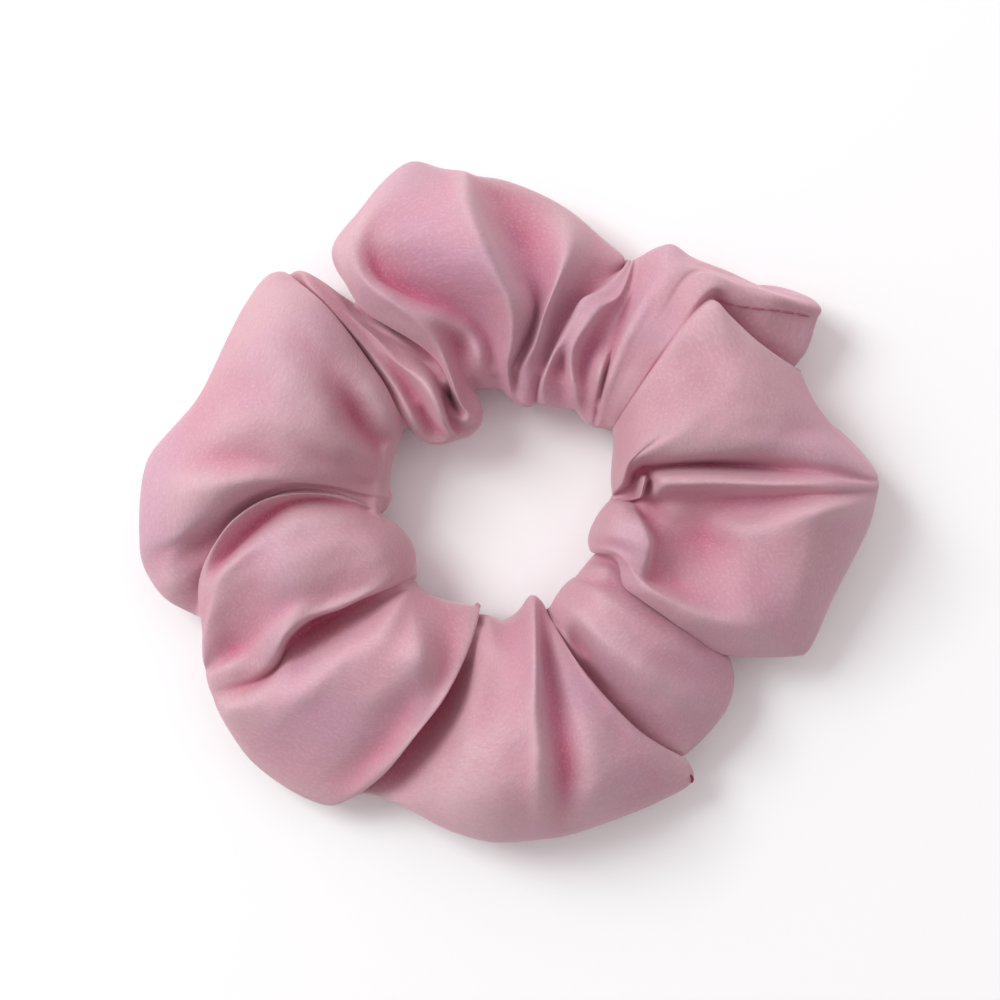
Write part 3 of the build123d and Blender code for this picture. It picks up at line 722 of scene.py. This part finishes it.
cover.data.materials.append(satin_material())
rose_thread = thread_material("rose_thread_dark", STITCH_ROSE)
maroon_thread = thread_material("maroon_thread_end", MAROON)
white_thread = thread_material("white_thread_join", THREAD_WHITE)

thick = cover.modifiers.new("cloth_thickness", "SOLIDIFY")
thick.thickness = CLOTH_THICKNESS * MM
thick.offset = 1

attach(cover, "cover")
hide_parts("satin_cover")

# Parts of the frame whose shape is kept, and which only get a better material
for node, material in (
    ("elastic_band", braid_material()),
    ("elastic_join_thread", white_thread),
    ("side_seam_needle_thread", rose_thread),
    ("side_seam_bobbin_thread", rose_thread),
):
    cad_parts[node].material_slots[0].material = material

# ---------------------------------------------------------------------------
# Sewn parts: the line of stitches beside the hem, and the end of the seam's thread
# ---------------------------------------------------------------------------

HEM_LINE = [(32.2, 31.0), (34.0, 30.3), (36.5, 29.9), (40.0, 29.55), (44.0, 29.2), (47.4, 28.75)]
FIRST_STITCH = 0.2  # distance along the hem line
STITCH = 2.2
STITCH_GAP = 0.25
STITCH_RADIUS = 0.14
STITCH_DIP = 0.12  # how far the ends of a stitch sink into the cloth
UPPER_LIFT = 0.20  # height of the upper stitches over the cloth
LOWER_LIFT = -0.42

THREAD_END = [(27.9, -42.5, 7.8), (28.5, -42.9, 8.2), (28.8, -43.4, 8), (28.7, -44.0, 7.4)]
THREAD_END_RADIUS = 0.2
THREAD_SIDES = 10
RAY_START = 60  # height from which the cloth is looked for
THREAD_TIP = 0.55  # radius at the ends of a thread, as a share


def thread_run(points, radius):
    """Vertices and faces of a round thread along the points, with closed ends."""
    path = [Vector(p) for p in points]
    last = len(path) - 1
    verts, faces = [], []
    for i, here in enumerate(path):
        ahead = path[min(i + 1, last)] - path[max(i - 1, 0)]
        ahead.normalize()
        side = ahead.cross(Vector((0, 0, 1))).normalized()
        up = side.cross(ahead)
        thin = THREAD_TIP if i in (0, last) else 1
        for k in range(THREAD_SIDES):
            turn = 2 * np.pi * k / THREAD_SIDES
            verts.append(here + radius * thin * (side * np.cos(turn) + up * np.sin(turn)))
    for i in range(last):
        near, far = i * THREAD_SIDES, (i + 1) * THREAD_SIDES
        for k in range(THREAD_SIDES):
            n = (k + 1) % THREAD_SIDES
            faces.append((near + k, near + n, far + n, far + k))
    faces.append(tuple(range(THREAD_SIDES))[::-1])
    faces.append(tuple(last * THREAD_SIDES + k for k in range(THREAD_SIDES)))
    return verts, faces


def thread_piece(name, runs, radius, material):
    verts, faces = [], []
    for run in runs:
        run_verts, run_faces = thread_run(run, radius)
        faces += [tuple(i + len(verts) for i in face) for face in run_faces]
        verts += run_verts
    made = new_object(name, [v * MM for v in verts], faces)
    made.data.materials.append(material)
    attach(made, "cover")
    return made


def cloth_top(x, y):
    """Height of the cloth's upper face over a point, in millimetres."""
    _, where, _, _ = cover.ray_cast(Vector((x, y, RAY_START)) * MM, Vector((0, 0, -1)))
    return where.z / MM


def hem_runs(lift):
    """The points of each stitch along the hem line, so far above or below the cloth."""
    line = spaced(curve([(x, y, 0) for x, y in HEM_LINE], False, SPAN_STEPS), 400)
    far = lengths_along(line)
    runs, start = [], FIRST_STITCH
    while start + STITCH < far[-1]:
        run = []
        for step in np.linspace(0, 1, 7):
            x = np.interp(start + step * STITCH, far, line[:, 0])
            y = np.interp(start + step * STITCH, far, line[:, 1])
            dip = STITCH_DIP * (2 * step - 1) ** 4
            run.append((x, y, cloth_top(x, y) + lift - np.sign(lift) * dip))
        runs.append(run)
        start += STITCH + STITCH_GAP
    return runs


upper_stitches = thread_piece(
    "hem_stitches_upper", hem_runs(UPPER_LIFT), STITCH_RADIUS, rose_thread
)
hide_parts("closing_seam_needle_thread")

lower_stitches = thread_piece(
    "hem_stitches_lower", hem_runs(LOWER_LIFT), STITCH_RADIUS, rose_thread
)
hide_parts("closing_seam_bobbin_thread")

end_curve = spaced(curve(THREAD_END, False, SPAN_STEPS), 24).tolist()
thread_end = thread_piece("seam_thread_curl", [end_curve], THREAD_END_RADIUS, maroon_thread)
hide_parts("seam_end_thread")

# ---------------------------------------------------------------------------
# Floor, lights and camera, in metres
# ---------------------------------------------------------------------------

FLOOR_HALF = 3
FLOOR_HEIGHT = -0.0002
KEY_PLACE = (-0.57, 0.36, 0.70)
KEY_SIZE = 0.42
KEY_POWER = 5.45
KEY_TINT = (0.94, 1, 1)
FILL_PLACE = (0.7, 0.1, 0.8)
FILL_SIZE = 0.9
FILL_POWER = 0.8
LIGHT_TARGET = (0, 0, 0.01)
DOME_COLOUR = (1, 0.905, 0.935, 1)
DOME_BRIGHT_SIDE = (-0.5, 0.65, 0.45)
DOME_DARKEST = 0.16
DOME_BRIGHTEST = 1.0
CAMERA_PLACE = (-0.0014, 0.0003, 0.378)
LENS_MM = 85


def add_floor():
    h = FLOOR_HALF
    mesh = bpy.data.meshes.new("floor")
    mesh.from_pydata([(-h, -h, 0), (h, -h, 0), (h, h, 0), (-h, h, 0)], [], [(0, 1, 2, 3)])
    made = bpy.data.objects.new("floor", mesh)
    bpy.context.scene.collection.objects.link(made)
    made.location.z = FLOOR_HEIGHT
    paper, _ = plain_material("white_paper", PAPER_WHITE, 0.9)
    mesh.materials.append(paper)
    return made


def add_softbox(name, place, size, power, tint):
    data = bpy.data.lights.new(name, "AREA")
    data.size = size
    data.energy = power
    data.color = tint
    made = bpy.data.objects.new(name, data)
    bpy.context.scene.collection.objects.link(made)
    made.location = place
    made.rotation_euler = (Vector(LIGHT_TARGET) - Vector(place)).to_track_quat("-Z", "Y").to_euler()


def light_dome():
    """A soft studio dome, brighter on the far side, above and to the left."""
    world = bpy.context.scene.world or bpy.data.worlds.new("studio")
    bpy.context.scene.world = world
    world.use_nodes = True
    nodes, links = world.node_tree.nodes, world.node_tree.links
    sky = nodes["Background"]
    sky.inputs["Color"].default_value = DOME_COLOUR
    direction = nodes.new("ShaderNodeTexCoord")
    towards = nodes.new("ShaderNodeVectorMath")
    towards.operation = "DOT_PRODUCT"
    towards.inputs[1].default_value = DOME_BRIGHT_SIDE
    strength = nodes.new("ShaderNodeMapRange")
    strength.inputs["From Min"].default_value = -0.7
    strength.inputs["From Max"].default_value = 1
    strength.inputs["To Min"].default_value = DOME_DARKEST
    strength.inputs["To Max"].default_value = DOME_BRIGHTEST
    links.new(direction.outputs["Generated"], towards.inputs[0])
    links.new(towards.outputs["Value"], strength.inputs["Value"])
    links.new(strength.outputs["Result"], sky.inputs["Strength"])


def add_camera():
    lens = bpy.data.cameras.new("camera")
    lens.lens = LENS_MM
    lens.sensor_width = 36
    made = bpy.data.objects.new("camera", lens)
    bpy.context.scene.collection.objects.link(made)
    made.location = CAMERA_PLACE
    made.rotation_euler = (0, 0, 0)
    return made


add_floor()
add_softbox("key_softbox", KEY_PLACE, KEY_SIZE, KEY_POWER, KEY_TINT)
add_softbox("fill_softbox", FILL_PLACE, FILL_SIZE, FILL_POWER, (1, 1, 1))
light_dome()
bpy.context.scene.view_settings.view_transform = "Standard"
bpy.context.scene.camera = add_camera()
